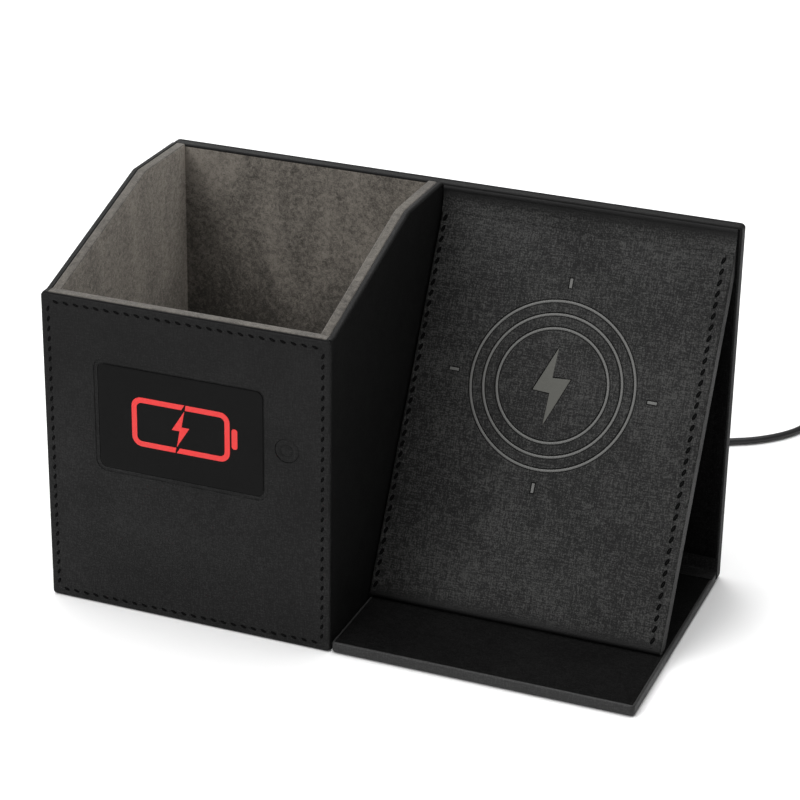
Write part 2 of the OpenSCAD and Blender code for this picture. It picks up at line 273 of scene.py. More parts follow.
def wear(obj, finish, body, slot, *replaced):
    """Gives a finished piece its material, the body it rides on and the CAD nodes that it stands for."""
    if finish:
        obj.data.materials.clear()
        obj.data.materials.append(finish)
    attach(obj, body)
    if replaced:
        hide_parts(*replaced)
    return obj


def paint(obj, finish, wanted):
    """Gives the wanted faces of a finished piece a finish of their own."""
    obj.data.materials.append(finish)
    for face in obj.data.polygons:
        if wanted(face.center, face.normal):
            face.material_index = len(obj.data.materials) - 1


# ---------------------------------------------------------------- material helpers


class Socket:
    """A shader value. Python's operators on it add Math nodes."""

    def __init__(self, recipe, output):
        self.recipe, self.output = recipe, output

    def math(self, operation, a, b):
        return self.recipe.node("ShaderNodeMath", {"operation": operation}, {0: a, 1: b})

    def __add__(self, other):
        return self.math("ADD", self, other)

    def __radd__(self, other):
        return self.math("ADD", other, self)

    def __sub__(self, other):
        return self.math("SUBTRACT", self, other)

    def __rsub__(self, other):
        return self.math("SUBTRACT", other, self)

    def __mul__(self, other):
        return self.math("MULTIPLY", self, other)

    def __rmul__(self, other):
        return self.math("MULTIPLY", other, self)


class Recipe:
    """One material: a principled shader and the nodes that feed it."""

    def __init__(self, name, **constants):
        self.material = bpy.data.materials.new(name)
        self.material.use_nodes = True
        self.tree = self.material.node_tree
        self.shader = self.tree.nodes["Principled BSDF"]
        for key, value in constants.items():
            self.shader.inputs[key.replace("_", " ")].default_value = value

    def node(self, kind, settings=(), inputs=(), output=0):
        """Adds a node, first its settings, then its inputs, and returns one of its outputs."""
        made = self.tree.nodes.new(kind)
        for key, value in dict(settings).items():
            if key == "stops":
                for stop, (position, grey) in zip(self.stops_of(made, len(value)), value):
                    stop.position, stop.color = position, (grey, grey, grey, 1)
            else:
                setattr(made, key, value)
        for key, value in dict(inputs).items():
            self.feed(made.inputs[key], value)
        return Socket(self, made.outputs[output])

    def stops_of(self, ramp, count):
        """A ramp's colour stops, as many as are needed."""
        stops = ramp.color_ramp.elements
        while len(stops) < count:
            stops.new(0.5)
        return stops

    def feed(self, socket, value):
        if isinstance(value, Socket):
            self.tree.links.new(value.output, socket)
        else:
            socket.default_value = value

    def place(self, scale=(1, 1, 1), turn=(0, 0, 0), move=(0, 0, 0)):
        """Object coordinates in millimetres, turned, moved and scaled."""
        place = self.node("ShaderNodeTexCoord", output="Object")
        place = self.node("ShaderNodeMapping", {"vector_type": "POINT"}, {
            "Vector": place, "Rotation": turn, "Scale": (1 / MM, 1 / MM, 1 / MM)})
        return self.node("ShaderNodeMapping", {"vector_type": "POINT"}, {
            "Vector": place, "Location": move, "Scale": scale})

    def noise(self, place, size, detail=2, rough=0.5, twist=0):
        """Noise whose features are about size millimetres across."""
        return self.node("ShaderNodeTexNoise", (), {
            "Vector": place, "Scale": 1 / size, "Detail": detail, "Roughness": rough, "Distortion": twist})

    def cells(self, place, size, feature="F1", output="Distance"):
        return self.node("ShaderNodeTexVoronoi", {"feature": feature}, {"Vector": place, "Scale": 1 / size},
                         output)

    def waves(self, place, size, direction="X", twist=0):
        return self.node("ShaderNodeTexWave", {"wave_type": "BANDS", "bands_direction": direction}, {
            "Vector": place, "Scale": 0.314 / size, "Distortion": twist, "Detail": 1}, "Fac")

    def span(self, value, low, high, to_low=0.0, to_high=1.0):
        """The value's stretch from low to high, brought to another stretch and held at its ends."""
        return self.node("ShaderNodeMapRange", {"interpolation_type": "SMOOTHSTEP"}, {
            "Value": value, "From Min": low, "From Max": high, "To Min": to_low, "To Max": to_high})

    def mix(self, share, a, b):
        """Two colours, by a share of the second."""
        return self.node("ShaderNodeMix", {"data_type": "RGBA"}, {0: share, 6: a, 7: b}, 2)

    def bump(self, height, depth, strength=1.0, under=None):
        """A bump of height 0 to 1 that is depth millimetres deep, on top of another one."""
        inputs = {"Height": height, "Distance": depth * MM, "Strength": strength}
        if under:
            inputs["Normal"] = under
        return self.node("ShaderNodeBump", (), inputs)

    def done(self, **links):
        for key, value in links.items():
            self.feed(self.shader.inputs[key.replace("_", " ")], value)
        return self.material


def tone(red, green=None, blue=None):
    """A display colour from 0 to 255 as the shader's linear colour."""
    parts = (red, red if green is None else green, red if blue is None else blue)
    return tuple((part / 255 / 12.92 if part < 10 else ((part / 255 + 0.055) / 1.055) ** 2.4)
                 for part in parts) + (1,)


def leather(name, dark, light, grain, depth, gloss=0.5, turn=(0, 0, 0), specular=0.3, painted_shade_span=None):
    """Grained leather: pebbles and crossing fibres grain millimetres wide, worn lighter on top.

    The last argument paints shade: two heights in millimetres, between which the leather grows darker, and
    the share of its lightness that is left at the second."""
    recipe = Recipe(name, Specular_IOR_Level=specular)
    place = recipe.place(turn=turn)
    pebbles = recipe.span(recipe.cells(place, grain), 0.05, 0.75, 1, 0)
    across = recipe.noise(recipe.place(scale=(0.1, 1, 1), turn=turn), grain * 0.55, 2, 0.5)
    upward = recipe.noise(recipe.place(scale=(1, 1, 0.1), turn=turn), grain * 0.55, 2, 0.5)
    fine = recipe.noise(place, grain * 0.4, 3, 0.6)
    broad = recipe.noise(place, 22, 3, 0.55)
    height = pebbles * 0.2 + across * 0.5 + upward * 0.5 + fine * 0.25
    shade = recipe.span(height + broad * 0.22, 0.69, 1.02)
    # Painted shade: the colour grows darker from the first height to the second.
    if painted_shade_span:
        up = recipe.node("ShaderNodeSeparateXYZ", (), {0: recipe.place()}, 2)
        shade = shade * recipe.span(up, painted_shade_span[0], painted_shade_span[1], 1, painted_shade_span[2])
    normal = recipe.bump(height, depth, 0.8)
    return recipe.done(
        Base_Color=recipe.mix(shade, dark, light),
        Roughness=recipe.span(fine + broad, 0.7, 1.4, gloss + 0.08, gloss - 0.06),
        Normal=recipe.bump(broad, 0.25, 0.5, normal))


def suede(name, dark, light, deep=1.0):
    """Short nap, brushed lighter and darker in patches, over a fine mottled grain; painted shade makes it
    darker by deep towards the well's foot."""
    recipe = Recipe(name, Specular_IOR_Level=0.12, Sheen_Weight=0.2, Sheen_Roughness=0.5)
    place = recipe.place()
    nap = recipe.noise(place, 0.5, 4, 0.75)
    clumps = recipe.noise(place, 1.5, 3, 0.65, 0.6)
    brushed = recipe.noise(recipe.place(scale=(1, 1, 0.45)), 17, 2, 0.5, 0.8)
    height = recipe.node("ShaderNodeSeparateXYZ", (), {0: place}, 2)
    # Painted shade: the suede grows darker towards the well's foot.
    tinted = recipe.span(height, 15, 118, 1 - deep, 0)
    shade = recipe.span(nap * 0.6 + clumps * 0.55 + brushed * 0.35 - tinted, 0.5, 0.96)
    return recipe.done(
        Base_Color=recipe.mix(shade, dark, light),
        Roughness=recipe.span(clumps, 0.3, 0.7, 0.98, 0.86),
        Normal=recipe.bump(nap * 0.6 + clumps * 0.4, 0.4, 0.8))


def plain(name, colour, gloss, size=0.5, depth=0.03, mottle=0.85, **constants):
    """A moulded or printed finish: a fine texture, and a colour that varies a little."""
    recipe = Recipe(name, **constants)
    place = recipe.place()
    fine = recipe.noise(place, size, 3, 0.6)
    broad = recipe.noise(place, 9, 2, 0.5)
    tinted = tuple(part * mottle for part in colour[:3]) + (1,)
    return recipe.done(
        Base_Color=recipe.mix(recipe.span(fine * 0.5 + broad * 0.5, 0.3, 0.7), tinted, colour),
        Roughness=recipe.span(broad, 0.3, 0.7, gloss - 0.05, gloss + 0.07),
        Normal=recipe.bump(fine, depth, 0.6))


def metal(name, colour, gloss, brush=(1, 1, 1)):
    """Plated metal with faint brushing."""
    recipe = Recipe(name, Metallic=1.0)
    scratch = recipe.noise(recipe.place(scale=brush), 0.4, 3, 0.6)
    dull = recipe.noise(recipe.place(), 5, 2, 0.5)
    return recipe.done(
        Base_Color=recipe.mix(recipe.span(dull, 0.35, 0.7), colour,
                              tuple(c * 0.8 for c in colour[:3]) + (1,)),
        Roughness=recipe.span(scratch * 0.5 + dull * 0.5, 0.3, 0.7, gloss - 0.06, gloss + 0.1),
        Normal=recipe.bump(scratch, 0.01, 0.4))


def fibreboard(name):
    """Grey-brown board with flecks of pulp and fibres."""
    recipe = Recipe(name, Specular_IOR_Level=0.2)
    place = recipe.place()
    flecks = recipe.noise(recipe.place(scale=(0.35, 1, 1)), 0.8, 4, 0.7)
    cloud = recipe.noise(place, 7, 2, 0.5)
    shade = recipe.span(flecks * 0.7 + cloud * 0.4, 0.38, 0.75)
    return recipe.done(
        Base_Color=recipe.mix(shade, tone(112, 98, 80), tone(150, 136, 116)),
        Roughness=recipe.span(flecks, 0.3, 0.7, 0.95, 0.85),
        Normal=recipe.bump(flecks, 0.08, 0.6))


def lacquered_board(name):
    """Green lacquer over copper tracks, with tinned pads."""
    recipe = Recipe(name, Specular_IOR_Level=0.5)
    place = recipe.place()
    tracks = recipe.span(recipe.waves(place, 1.6, "X", 5), 0.72, 0.86)
    pads = recipe.span(recipe.cells(place, 3.4), 0.1, 0.16, 1, 0)
    green = recipe.mix(tracks, tone(18, 74, 44), tone(34, 104, 58))
    return recipe.done(
        Base_Color=recipe.mix(pads, green, tone(176, 178, 170)),
        Metallic=pads * 0.9,
        Roughness=recipe.span(pads + tracks * 0.3, 0, 1, 0.38, 0.28),
        Normal=recipe.bump(tracks + pads, 0.05, 0.8))


def wound_copper(name, turn, move):
    """Enamelled wire in turns about the coil's middle."""
    recipe = Recipe(name, Metallic=1.0)
    place = recipe.place(turn=turn, move=move)
    turns = recipe.node("ShaderNodeTexWave", {"wave_type": "RINGS", "rings_direction": "Y"}, {
        "Vector": place, "Scale": 0.314 / 1.1})
    ripple = recipe.noise(place, 2.5, 2, 0.5)
    return recipe.done(
        Base_Color=recipe.mix(turns, tone(98, 44, 20), tone(205, 120, 70)),
        Roughness=recipe.span(ripple, 0.3, 0.7, 0.28, 0.4),
        Normal=recipe.bump(turns, 0.3, 0.9))


def woven_tie(name):
    """Ribbed woven tape."""
    recipe = Recipe(name, Specular_IOR_Level=0.2, Sheen_Weight=0.3)
    across = recipe.waves(recipe.place(), 0.7, "Y", 0.4)
    along = recipe.waves(recipe.place(), 0.7, "X", 0.4)
    weave = across * along
    return recipe.done(
        Base_Color=recipe.mix(weave, tone(20), tone(52, 52, 54)),
        Roughness=recipe.span(weave, 0, 1, 0.92, 0.75),
        Normal=recipe.bump(weave, 0.25, 0.9))


# ---------------------------------------------------------------- sizes read from the frame

back_low, back_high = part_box("back_cover")
facing_low, facing_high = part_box("bay_facing")
facade_low, facade_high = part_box("facade_cover")
left_low, left_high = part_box("left_wall_cover")
right_low, right_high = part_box("right_wall_cover")
flap_low, flap_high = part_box("flap_cover")
base_low, base_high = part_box("base_cover")
button_low, button_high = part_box("light_button")
badge_low, badge_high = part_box("badge_plate")

SKIN = 0.8 * MM
EDGE = 1.1 * MM
STITCH_PITCH, FLAP_PITCH, THREAD_DEEP = 3.5 * MM, 3.56 * MM, 0.05 * MM
STRIP_T = 0.16 * MM
FLAP_T = 5.2 * MM
LEAN = radians(28)
hinge = Vector((0, flap_high.y, 120.7 * MM))
flap_l = (hinge.z - flap_low.z) / cos(LEAN)
ring_middle = (47.4 * MM, -53.6 * MM)
RIM_BEND = 15.3 * MM
front_board_rear = -45.5 * MM

# ---------------------------------------------------------------- finishes

flap_turn = (LEAN, 0, 0)
# Painted shade: the facade and back panel leathers grow darker towards their tops.
facade_leather = leather("facade_leather", tone(15), tone(34), 0.6, 0.12, 0.55, specular=0.12,
                         painted_shade_span=(30, 107, 0.5))
back_leather = leather("back_leather", tone(13), tone(32), 0.6, 0.12, 0.55, specular=0.1, painted_shade_span=(60, 127, 0.4))
# Painted shade: the flap leather grows much darker towards its foot on the base.
flap_leather = leather("flap_leather", tone(17), tone(57, 57, 56), 0.55, 0.2, 0.6, flap_turn, 0.16,
                       (9.5, 5, 0.03))
# Painted shade: the hinge strip's leather grows darker towards the top of its bend.
bent_leather = leather("bent_leather", tone(17), tone(57, 57, 56), 0.55, 0.2, 0.6, flap_turn, 0.16,
                       (120.5, 125, 0.06))
# Darker leather in the pressed grooves: partly the real darkening of heat pressing, partly painted shade in
# the grooves.
pressed_and_shaded_leather = leather("pressed_and_shaded_leather", tone(14), tone(28), 0.4, 0.03, 0.6, flap_turn, specular=0.05)
wall_leather = leather("wall_leather", tone(13), tone(23), 0.7, 0.06, 0.5, specular=0.1)
base_leather = leather("base_leather", tone(5), tone(21), 0.5, 0.14, 0.62, specular=0.04)
edge_leather = leather("edge_leather", tone(36), tone(52), 0.6, 0.1, 0.52, specular=0.2)
hinge_leather = leather("hinge_leather", tone(18), tone(40), 0.6, 0.1, 0.6, specular=0.1)
plate_leather = leather("plate_leather", tone(8), tone(12), 0.3, 0.03, 0.42, specular=0.07)
# One lining suede in three copies: the wall caps wear a lighter copy, painted light, and the rims a darker
# one, painted shade; the last number of each is how much painted shade darkens it towards the well's foot.
lining_suede = suede("lining_suede", tone(57, 54, 50), tone(131, 125, 117), 0.74)
rim_suede_painted_darker = suede("rim_suede_painted_darker", tone(53, 50, 47), tone(94, 90, 84), 0.9)
wall_suede_painted_lighter = suede("wall_suede_painted_lighter", tone(98, 93, 86), tone(176, 168, 157), 0.95)
# Near-black edge paint: real on the facade's top edge and on the boards' undersides, painted shade on the
# back panel's rear top bevel.
edge_paint_and_shade = plain("edge_paint_and_shade", tone(7), 0.6, 0.8, 0.02, 0.7, Specular_IOR_Level=0.05)
thread = plain("black_thread", tone(8), 0.7, 0.25, 0.05, 0.6, Specular_IOR_Level=0.08)
# Near-black for the stitch pits: painted shade of the needle holes.
needle_hole = plain("needle_hole", tone(5), 0.9, 0.2, 0.02, 0.6, Specular_IOR_Level=0.05)
ring_print = plain("ring_print", tone(88, 88, 86), 0.6, 0.4, 0.04, 0.82)
bolt_print = plain("bolt_print", tone(70, 70, 65), 0.65, 0.4, 0.05, 0.82)
mark_print = plain("mark_print", tone(214, 34, 33), 0.5, 0.6, 0.03, 0.92)
cord_jacket = plain("cord_jacket", tone(20, 20, 21), 0.46, 0.8, 0.03, 0.8, Specular_IOR_Level=0.4)
overmould = plain("overmould", tone(24, 24, 25), 0.55, 0.3, 0.05, 0.8, Specular_IOR_Level=0.4)
steel = metal("plated_steel", tone(196, 198, 200), 0.26, (1, 0.1, 1))
nickel = metal("nickel_plate", tone(186, 184, 178), 0.22)
plug_tongue = plain("plug_tongue", tone(228, 228, 224), 0.45, 0.5, 0.02, 0.93)
gold = metal("gold_contact", tone(214, 170, 88), 0.24, (1, 0.1, 1))
ferrite = plain("ferrite", tone(48, 48, 50), 0.42, 0.7, 0.04, 0.7)
acrylic = plain("frosted_acrylic", tone(226, 232, 232), 0.4, 0.4, 0.02, 0.95)
board = fibreboard("fibreboard")
circuit = lacquered_board("lacquered_board")
copper = wound_copper("wound_copper", flap_turn, (
    -ring_middle[0] / MM, -(hinge.y * cos(LEAN) - hinge.z * sin(LEAN)) / MM,
    -(hinge.y * sin(LEAN) + hinge.z * cos(LEAN) + ring_middle[1]) / MM))
tape = woven_tie("woven_tie")

# ---------------------------------------------------------------- stitches


def stitch(leather_finish, length, width, slant=24):
    """One stitch along X on a face that looks to -Y: a slanted pit, the thread sunk in it, and the
    puckered leather."""
    turn = radians(slant)
    bpy.ops.mesh.primitive_cylinder_add(
        vertices=12, radius=1, depth=1, scale=(length / 2, width / 2, 0.1 * MM), rotation=(pi / 2, turn, 0))
    pit = bpy.context.object
    # The pit is near-black: painted shade of the needle hole.
    pit.data.materials.append(needle_hole)
    bpy.ops.mesh.primitive_uv_sphere_add(
        segments=8, ring_count=6, radius=1, scale=(length * 0.4, 0.09 * MM, width * 0.13),
        rotation=(0, turn, 0))
    strand = bpy.context.object
    strand.data.materials.append(thread)
    bpy.ops.mesh.primitive_uv_sphere_add(
        segments=10, ring_count=6, radius=1, location=(length * 0.88, 0.12 * MM, 0),
        scale=(length * 0.22, 0.17 * MM, width * 0.5))
    pucker = bpy.context.object
    pucker.data.materials.append(leather_finish)
    parts = [pit, strand, pucker]
    for part in parts:
        settle(part)
        smooth(part, 60)
    return joined("stitch", parts)


def seam(name, pattern, runs, pitch):
    """Copies one stitch along each run, from its start to its end on a face that looks out."""
    copies = []
    for start, end, out in runs:
        start, end, out = Vector(start), Vector(end), Vector(out)
        count = round((end - start).length / pitch)
        along = (end - start).normalized()
        turn = Matrix((along, -out, along.cross(-out))).transposed()
        for index in range(count):
            copy = bpy.data.objects.new(name, pattern.data.copy())
            copy.data.transform(turn.to_4x4())
            copy.data.transform(Matrix.Translation(start.lerp(end, (index + 0.5) / count)))
            bpy.context.scene.collection.objects.link(copy)
            copies.append(copy)
    return joined(name, copies)


def border(low, high, y, inset, out):
    """Four runs of a seam just inside a rectangle that stands at y, each short of the corners."""
    x0, x1 = low.x + inset, high.x - inset
    z0, z1 = low.z + inset, high.z - inset
    short = 0.9 * MM
    return [((x0 + short, y, z1), (x1 - short, y, z1), out), ((x1, y, z1 - short), (x1, y, z0 + short), out),
            ((x1 - short, y, z0), (x0 + short, y, z0), out), ((x0, y, z0 + short), (x0, y, z1 - short), out)]


def channel(obj, x, depth, face_y):
    """A soft groove down a sheet's face at x."""
    half = 1.1 * MM
    for shift in (-half, 0, half):
        with editing(obj, "FACE", all_of):
            bpy.ops.mesh.bisect(plane_co=(x + shift, 0, 0), plane_no=(1, 0, 0))
    with editing(obj, "VERT", lambda place, way: near(place.x, x) and abs(place.y - face_y) < 0.45 * MM):
        bpy.ops.transform.translate(value=(0, depth, 0))


def sew(name, finish, length, width, runs, pitch=STITCH_PITCH):
    """Runs of thread in a leather, as one piece."""
    one = stitch(finish, length, width)
    threads = seam(name, one, runs, pitch)
    bpy.data.objects.remove(one)
    return threads


# ---------------------------------------------------------------- back panel


def make_back_panel():
    shell = block("back_panel_leather", back_low, back_high)
    inner_low = back_low + Vector((SKIN, -MM, SKIN))
    inner_high = back_high - Vector((SKIN, SKIN, SKIN))
    round_sheet(shell, 1.5 * MM, ((back_high.y, EDGE), (back_low.y, 0.55 * MM)))
    with editing(shell, "FACE", lambda place, way: way.y > 0.99):
        pressed_line(1.4 * MM, 0.4 * MM)
    painted_y = back_high.y - 2.1 * MM
    with editing(shell, "FACE", all_of):
        bpy.ops.mesh.bisect(plane_co=(0, painted_y, 0), plane_no=(0, 1, 0))
    relief_low, relief_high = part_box("strain_relief")
    middle = ((relief_low.x + relief_high.x) / 2, (relief_low.z + relief_high.z) / 2)
    carve(shell, block("board_room", inner_low, inner_high),
          rod("lead_hole", middle, 3.02 * MM, back_low.y, back_high.y + MM))
    smooth(shell)
    wear(shell, back_leather, "organiser", "leather", "back_cover")
    # The rear top bevel is painted near-black: painted shade where the rounding turns away from the lamps.
    paint(shell, edge_paint_and_shade, lambda place, way: place.y > painted_y and way.z > 0.2
          and place.z > back_high.z - EDGE)
    threads = sew("back_panel_stitches", back_leather, 2 * MM, 0.9 * MM,
                  border(back_low, back_high, back_high.y - THREAD_DEEP, 3.1 * MM, (0, 1, 0)))
    wear(threads, None, "organiser", "leather")

    facing = block("bay_facing_leather", facing_low, facing_high)
    seam_x = 95.6 * MM
    channel(facing, seam_x, 0.16 * MM, facing_low.y)
    bevel(facing, 0.4 * MM, 3, lambda place, way: near(place.y, facing_low.y)
          and (near(place.x, facing_high.x) or near(place.z, facing_high.z) or near(place.z, facing_low.z)))
    smooth(facing)
    wear(facing, base_leather, "organiser", "leather", "bay_facing")
    seam_y = facing_low.y + THREAD_DEEP
    threads = sew("bay_facing_stitches", base_leather, 1.9 * MM, 0.8 * MM,
                  [((seam_x, seam_y, 118 * MM), (seam_x, seam_y, 9 * MM), (0, -1, 0))])
    wear(threads, None, "organiser", "leather")

    low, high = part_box("well_back_lining")
    lining = block("well_back_suede", low, high)
    bevel(lining, 0.5 * MM, 3, lambda place, way: near(place.y, low.y) and near(place.z, high.z))
    smooth(lining)
    wear(lining, lining_suede, "organiser", "suede", "well_back_lining")


# ---------------------------------------------------------------- pen box


def side_wall(side, low, high):
    """A pen box wall: smooth leather outside, and a suede cap over the board and down the inside."""
    outer, inner = (low.x, high.x) if side == "left" else (high.x, low.x)
    cap_low, cap_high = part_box(side + "_wall_lining")
    skin = wall_profile(side + "_wall_leather", low.x, high.x, low.y, low.z, 0)
    bevel(skin, 0.9 * MM, 4, lambda place, way: near(place.x, outer) and on_rim(place))
    bevel(skin, 0.35 * MM, 3, lambda place, way: near(place.x, inner) and way.z < 0.9
          and place.z > facade_low.z + 90 * MM)
    smooth(skin)
    wear(skin, wall_leather, "organiser", "leather", side + "_wall_cover")

    cap = wall_profile(side + "_wall_suede", cap_low.x, cap_high.x, cap_low.y, cap_low.z, 0)
    board_low, board_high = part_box(side + "_wall_board")
    past = (MM, 0) if side == "left" else (0, MM)
    carve(cap, wall_profile("board_room", board_low.x - past[0], board_high.x + past[1], board_low.y - MM,
                            board_low.z - MM, 1 * MM))
    bevel(cap, 0.55 * MM, 4, lambda place, way: abs(way.x) < 0.1 and on_rim(place))
    smooth(cap)
    # The cap wears a lighter copy of the lining suede, painted light, and its faces that look up a darker
    # copy, painted shade.
    wear(cap, wall_suede_painted_lighter, "organiser", "suede", side + "_wall_lining")
    paint(cap, rim_suede_painted_darker, lambda place, way: way.z > 0.3)


def rim_height(y):
    """How high a side wall's rim is at a depth."""
    share = (y - front_board_rear) / (RIM_BEND - front_board_rear)
    return facade_high.z + (back_high.z - facade_high.z) * min(1, max(0, share))


def on_rim(place):
    return abs(place.z - rim_height(place.y)) < 0.05 * MM


def wall_profile(name, x0, x1, y0, z0, drop):
    """A side wall's layer from x0 to x1, whose top is the rim or a drop below it."""
    ys = [y for y in (y0, front_board_rear, RIM_BEND, back_low.y) if y >= y0]
    top = [(y, rim_height(y) - drop) for y in ys]
    outline = [(y0, z0)] + top + [(back_low.y, z0)]
    plate = upright_plate(name, outline, -x1, -x0)
    plate.rotation_euler.z = pi / 2
    settle(plate)
    return plate


def make_pen_box():
    side_wall("left", left_low, left_high)
    side_wall("right", right_low, right_high)

    low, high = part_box("front_lining")
    cap = block("front_wall_suede", (low.x, low.y, low.z), high)
    carve(cap, block("board_room", (low.x - MM, low.y - MM, low.z - MM),
                     (high.x + MM, front_board_rear, high.z - 1 * MM)))
    bevel(cap, 0.5 * MM, 4, lambda place, way: abs(way.x) > 0.9 and near(place.z, high.z))
    smooth(cap)
    # The front cap wears the darker copy of the lining suede: painted shade on its rim.
    wear(cap, rim_suede_painted_darker, "organiser", "suede", "front_lining")

    low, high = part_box("floor_lining")
    floor = block("well_floor_suede", low, high)
    with editing(floor, "FACE", lambda place, way: way.z > 0.9):
        bpy.ops.mesh.inset(thickness=2 * MM)
        bpy.ops.mesh.inset(thickness=2 * MM, depth=-0.2 * MM)
    smooth(floor)
    wear(floor, lining_suede, "organiser", "suede", "floor_lining")

    low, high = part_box("floor_cover")
    under = block("well_floor_leather", low, high)
    with editing(under, "FACE", lambda place, way: way.z < -0.9):
        pressed_line(3 * MM)
    smooth(under)
    wear(under, wall_leather, "organiser", "leather", "floor_cover")


def make_facade():
    front_y = facade_low.y
    sheet = block("facade_sheet", facade_low, facade_high)
    round_sheet(sheet, 1.2 * MM, ((front_y, 0.7 * MM), (facade_high.y, 0.35 * MM)))
    with editing(sheet, "FACE", lambda place, way: way.y < -0.99):
        pressed_line(1.25 * MM, 0.5 * MM)
    gap, frame_w, deep = 0.2 * MM, 1.3 * MM, 0.5 * MM
    room = Vector((gap, 0, gap))
    wide = Vector((gap + frame_w, 0, gap + frame_w))
    low, high = Vector((badge_low.x, front_y, badge_low.z)), Vector((badge_high.x, front_y, badge_high.z))
    guide_low, guide_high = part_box("light_guide")
    window = Vector((0.2 * MM, MM, 0.2 * MM))
    middle = ((button_low.x + button_high.x) / 2, (button_low.z + button_high.z) / 2)
    button_r = (button_high.x - button_low.x) / 2
    carve(sheet,
          round_block("badge_frame", low - wide - Vector((0, MM, 0)),
                      high + wide + Vector((0, 0.24 * MM, 0)), 3.9 * MM),
          round_block("badge_recess", low - room - Vector((0, MM, 0)), high + room + Vector((0, deep, 0)),
                      2.6 * MM),
          block("badge_window", guide_low - window, guide_high + window),
          rod("button_hole", middle, button_r + 0.07 * MM, front_y - MM, facade_high.y + MM))
    bevel(sheet, 0.09 * MM, 2, lambda place, way: abs(way.y) < 0.1
          and front_y - 0.01 * MM < place.y < front_y + 0.25 * MM
          and low.x - 2 * MM < place.x < middle[0] + 5 * MM and low.z - 2 * MM < place.z < high.z + 2 * MM)
    smooth(sheet)
    wear(sheet, facade_leather, "organiser", "leather", "facade_cover")
    paint(sheet, edge_paint_and_shade, lambda place, way: way.z > 0.8 and place.z > facade_high.z - 0.3 * MM)

    threads = sew("facade_stitches", facade_leather, 2 * MM, 0.9 * MM,
                  border(facade_low, facade_high, front_y + THREAD_DEEP, 2.6 * MM, (0, -1, 0)))
    wear(threads, None, "organiser", "leather")

    plate = round_block("badge_plate_leather", badge_low, badge_high - Vector((0.4 * MM, 0, 0.4 * MM)),
                        2.4 * MM)
    with editing(plate, "FACE", lambda place, way: way.y < -0.9):
        bpy.ops.mesh.inset(thickness=0.5 * MM)
        bpy.ops.transform.translate(value=(0, -0.1 * MM, 0))
    smooth(plate)
    wear(plate, plate_leather, "organiser", "leather_smooth", "badge_plate")

    mark = badge_mark(Vector(((badge_low.x + badge_high.x) / 2, badge_low.y - 0.1 * MM,
                              (badge_low.z + badge_high.z) / 2)))
    wear(mark, mark_print, "organiser", "badge_mark", "badge_mark")

    make_button(middle, button_r)


def bolt_outline(middle_x, middle_z, points, size):
    return [(middle_x + x * size * MM, middle_z + z * size * MM) for x, z in points]


BOLT = [(1.6, 7.2), (-3.4, -0.8), (-0.4, -0.8), (-1.6, -7.2), (3.4, 0.8), (0.4, 0.8)]


def badge_mark(middle):
    """A printed battery with a bolt across it, a little proud of the plate."""
    x, y, z = middle
    y0, y1 = y - 0.12 * MM, y + 0.05 * MM
    wide, tall, line = 17 * MM, 8.5 * MM, 1.8 * MM
    outline = round_block("battery", (x - wide, y0, z - tall), (x + wide, y1, z + tall), 3.4 * MM)
    carve(outline,
          round_block("battery_room", (x - wide + line, y0 - MM, z - tall + line),
                      (x + wide - line, y1 + MM, z + tall - line),
                      1.8 * MM),
          upright_plate("bolt_room", bolt_outline(x, z, BOLT, 1.32), y0 - MM, y1 + MM))
    cap = round_block("battery_cap", (x + 17.6 * MM, y0, z - 3.5 * MM), (x + 19.6 * MM, y1, z + 3.5 * MM),
                      0.9 * MM)
    bolt = upright_plate("bolt", bolt_outline(x, z, BOLT, 0.9), y0, y1)
    mark = joined("badge_battery_mark", [outline, cap, bolt])
    soften(mark, 0.05 * MM, 1)
    return mark


def make_button(middle, radius):
    """The light button: a low dome with a pressed ring, on its stem."""
    x, z = middle
    face_y, rear_y = button_low.y, button_high.y
    cap_t, stem_r = 0.9 * MM, 1.5 * MM
    profile = [(0, 0.02 * MM), (1.5 * MM, 0.03 * MM), (1.75 * MM, 0.08 * MM), (1.95 * MM, 0.22 * MM),
               (2.2 * MM, 0.22 * MM), (2.4 * MM, 0.06 * MM), (3.2 * MM, 0), (3.7 * MM, 0.05 * MM),
               (radius, 0.2 * MM), (radius, cap_t), (stem_r, cap_t), (stem_r, rear_y - face_y),
               (0, rear_y - face_y)]
    cap = turned("light_button_cap", profile, (x, face_y, z))
    smooth(cap, 50)
    wear(cap, facade_leather, "light_button", "leather_smooth", "light_button")


# ---------------------------------------------------------------- charging flap


def onto_flap(obj):
    """Leans a piece that was made upright, with the hinge line at zero, into the flap's place."""
    obj.location = hinge
    obj.rotation_euler.x = -LEAN
    settle(obj)


def flap_plate(name, x0, x1, y0, y1, top, low):
    """A slab of the flap between two depths: its top stands flat against the back panel, its foot flat on
    the base."""
    slab = block(name, (x0, y0, low - flap_l), (x1, y1, 0))
    for z, way in ((-top, (0, cos(LEAN), sin(LEAN))), (low - flap_l, (0, sin(LEAN), -cos(LEAN)))):
        with editing(slab, "FACE", all_of):
            bpy.ops.mesh.bisect(plane_co=(0, 0, z), plane_no=way, use_fill=True, clear_outer=True)
    return slab


def ring_bar(name, radius, y, thick, flat=1.0):
    """A ring about the middle of the charging mark."""
    bpy.ops.mesh.primitive_torus_add(
        major_segments=112, minor_segments=10, major_radius=radius, minor_radius=thick / 2,
        location=(ring_middle[0], y, ring_middle[1]), rotation=(pi / 2, 0, 0))
    ring = bpy.context.object
    ring.name = name
    ring.scale.z = flat
    settle(ring)
    return ring


